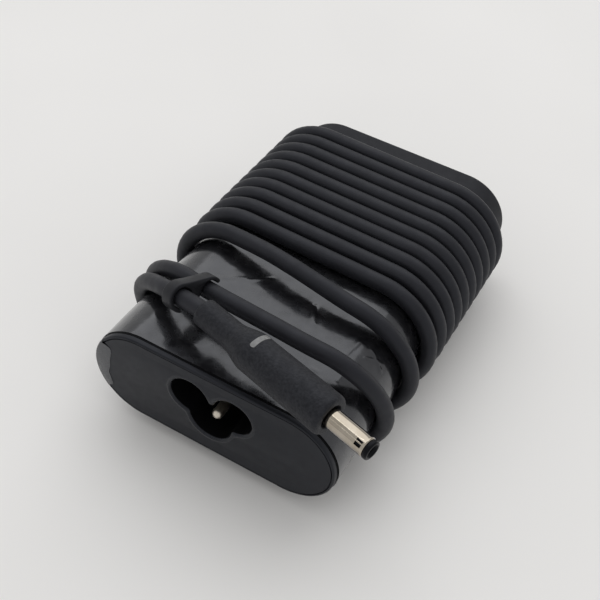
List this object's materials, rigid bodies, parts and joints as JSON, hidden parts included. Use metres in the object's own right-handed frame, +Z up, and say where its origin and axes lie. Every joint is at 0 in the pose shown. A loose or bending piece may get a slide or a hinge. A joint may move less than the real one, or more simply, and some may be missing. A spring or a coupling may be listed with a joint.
{
  "type": "laptop power adapter",
  "caption": "Slim mains power adapter in a pill-section casing, with its low-voltage lead wound round it, a barrel plug, a cord clip and a three-lobed mains inlet.",
  "frame": {"origin": "middle of the casing's bounding box", "axes": "+X across the casing's width, +Y from the mains inlet to the back end, +Z up"},
  "size_m": [0.0661, 0.0925, 0.0376],
  "materials": {
    "gloss_black": "glossy black moulding",
    "grey_matte": "fine matte texture, dark grey",
    "black_satin": "satin black moulding",
    "cord_black": "matte black flexible jacket",
    "plug_black": "fine matte overmould",
    "nickel": "warm nickel plating",
    "brass": "tinned brass",
    "window_clear": "milky light pipe",
    "board_green": "solder mask on laminate",
    "sheet_cream": "thin insulating sheet",
    "aluminium": "plain sheet",
    "ferrite": "sintered ferrite",
    "copper": "enamelled copper wire",
    "tape_yellow": "yellow insulating tape",
    "can_blue": "shrink sleeve on an aluminium can",
    "epoxy_black": "moulded package",
    "epoxy_green": "dipped disc",
    "epoxy_blue": "dipped disc",
    "box_yellow": "potted box",
    "package_white": "moulded package",
    "wire_red": "insulated wire"
  },
  "bodies": {
    "adapter": {"casing_sleeve": "gloss_black", "front_cap": "grey_matte", "rear_cap": "black_satin", "inlet_base": "black_satin", "inlet_pin_line": "brass", "inlet_pin_neutral": "brass", "inlet_pin_earth": "brass", "circuit_board": "board_green", "insulating_sheet": "sheet_cream", "heat_spreader": "aluminium", "fuse": "epoxy_black", "thermistor": "epoxy_green", "filter_capacitor": "box_yellow", "choke_core": "ferrite", "choke_windings": "copper", "bridge_rectifier": "epoxy_black", "bulk_capacitor": "can_blue", "switch_transistor": "epoxy_black", "switch_heatsink": "aluminium", "transformer_core": "ferrite", "transformer_winding": "tape_yellow", "output_rectifier": "epoxy_black", "output_heatsink": "aluminium", "output_capacitors": "can_blue", "optocoupler": "package_white", "safety_capacitor": "epoxy_blue", "control_chip": "epoxy_black", "output_wires": "wire_red", "strain_relief": "cord_black", "cord_winding": "cord_black", "cord_tail": "cord_black", "plug_grip": "plug_black", "plug_window": "window_clear", "plug_led": "window_clear", "plug_barrel": "nickel", "plug_insulator": "epoxy_black", "plug_contact": "brass"},
    "clip": {"cord_clip": "plug_black"}
  },
  "joints": [
    {"name": "clip_swing", "type": "hinge", "parent": "adapter", "child": "clip", "pos_m": [-0.01355, -0.03416, 0.01785], "axis": [0.8955, -0.3117, 0.3177], "range_deg": [0, 120]}
  ]
}
